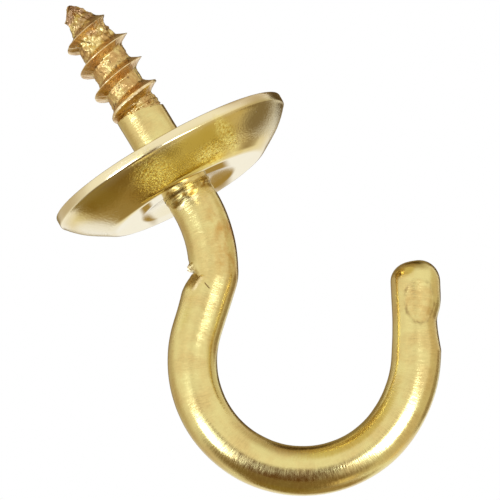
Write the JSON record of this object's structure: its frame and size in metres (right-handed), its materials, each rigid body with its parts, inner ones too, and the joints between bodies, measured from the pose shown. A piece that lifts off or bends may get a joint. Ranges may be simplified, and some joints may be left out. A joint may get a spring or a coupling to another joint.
{
  "type": "cup hook",
  "caption": "Brass cup hook: a bent wire with a wood-screw end, a round bowl and a slanted lip, and a dished cup collar staked on its shank.",
  "frame": {"origin": "middle of the collar's back face, the face that seats on the wood, on the screw's axis", "axes": "+Z along the screw towards its point, so the bowl hangs along -Z; the bowl lies in the XZ plane and opens towards +X"},
  "size_m": [0.0174, 0.015, 0.0332],
  "materials": {
    "wire_brass": "bright drawn wire with fine drawing marks, a rough screw core and bruises from the bending tools",
    "collar_brass": "smooth stamped sheet, slightly toned, with a bright rim"
  },
  "bodies": {
    "root": {"hook": "wire_brass", "collar": "collar_brass"}
  },
  "joints": []
}
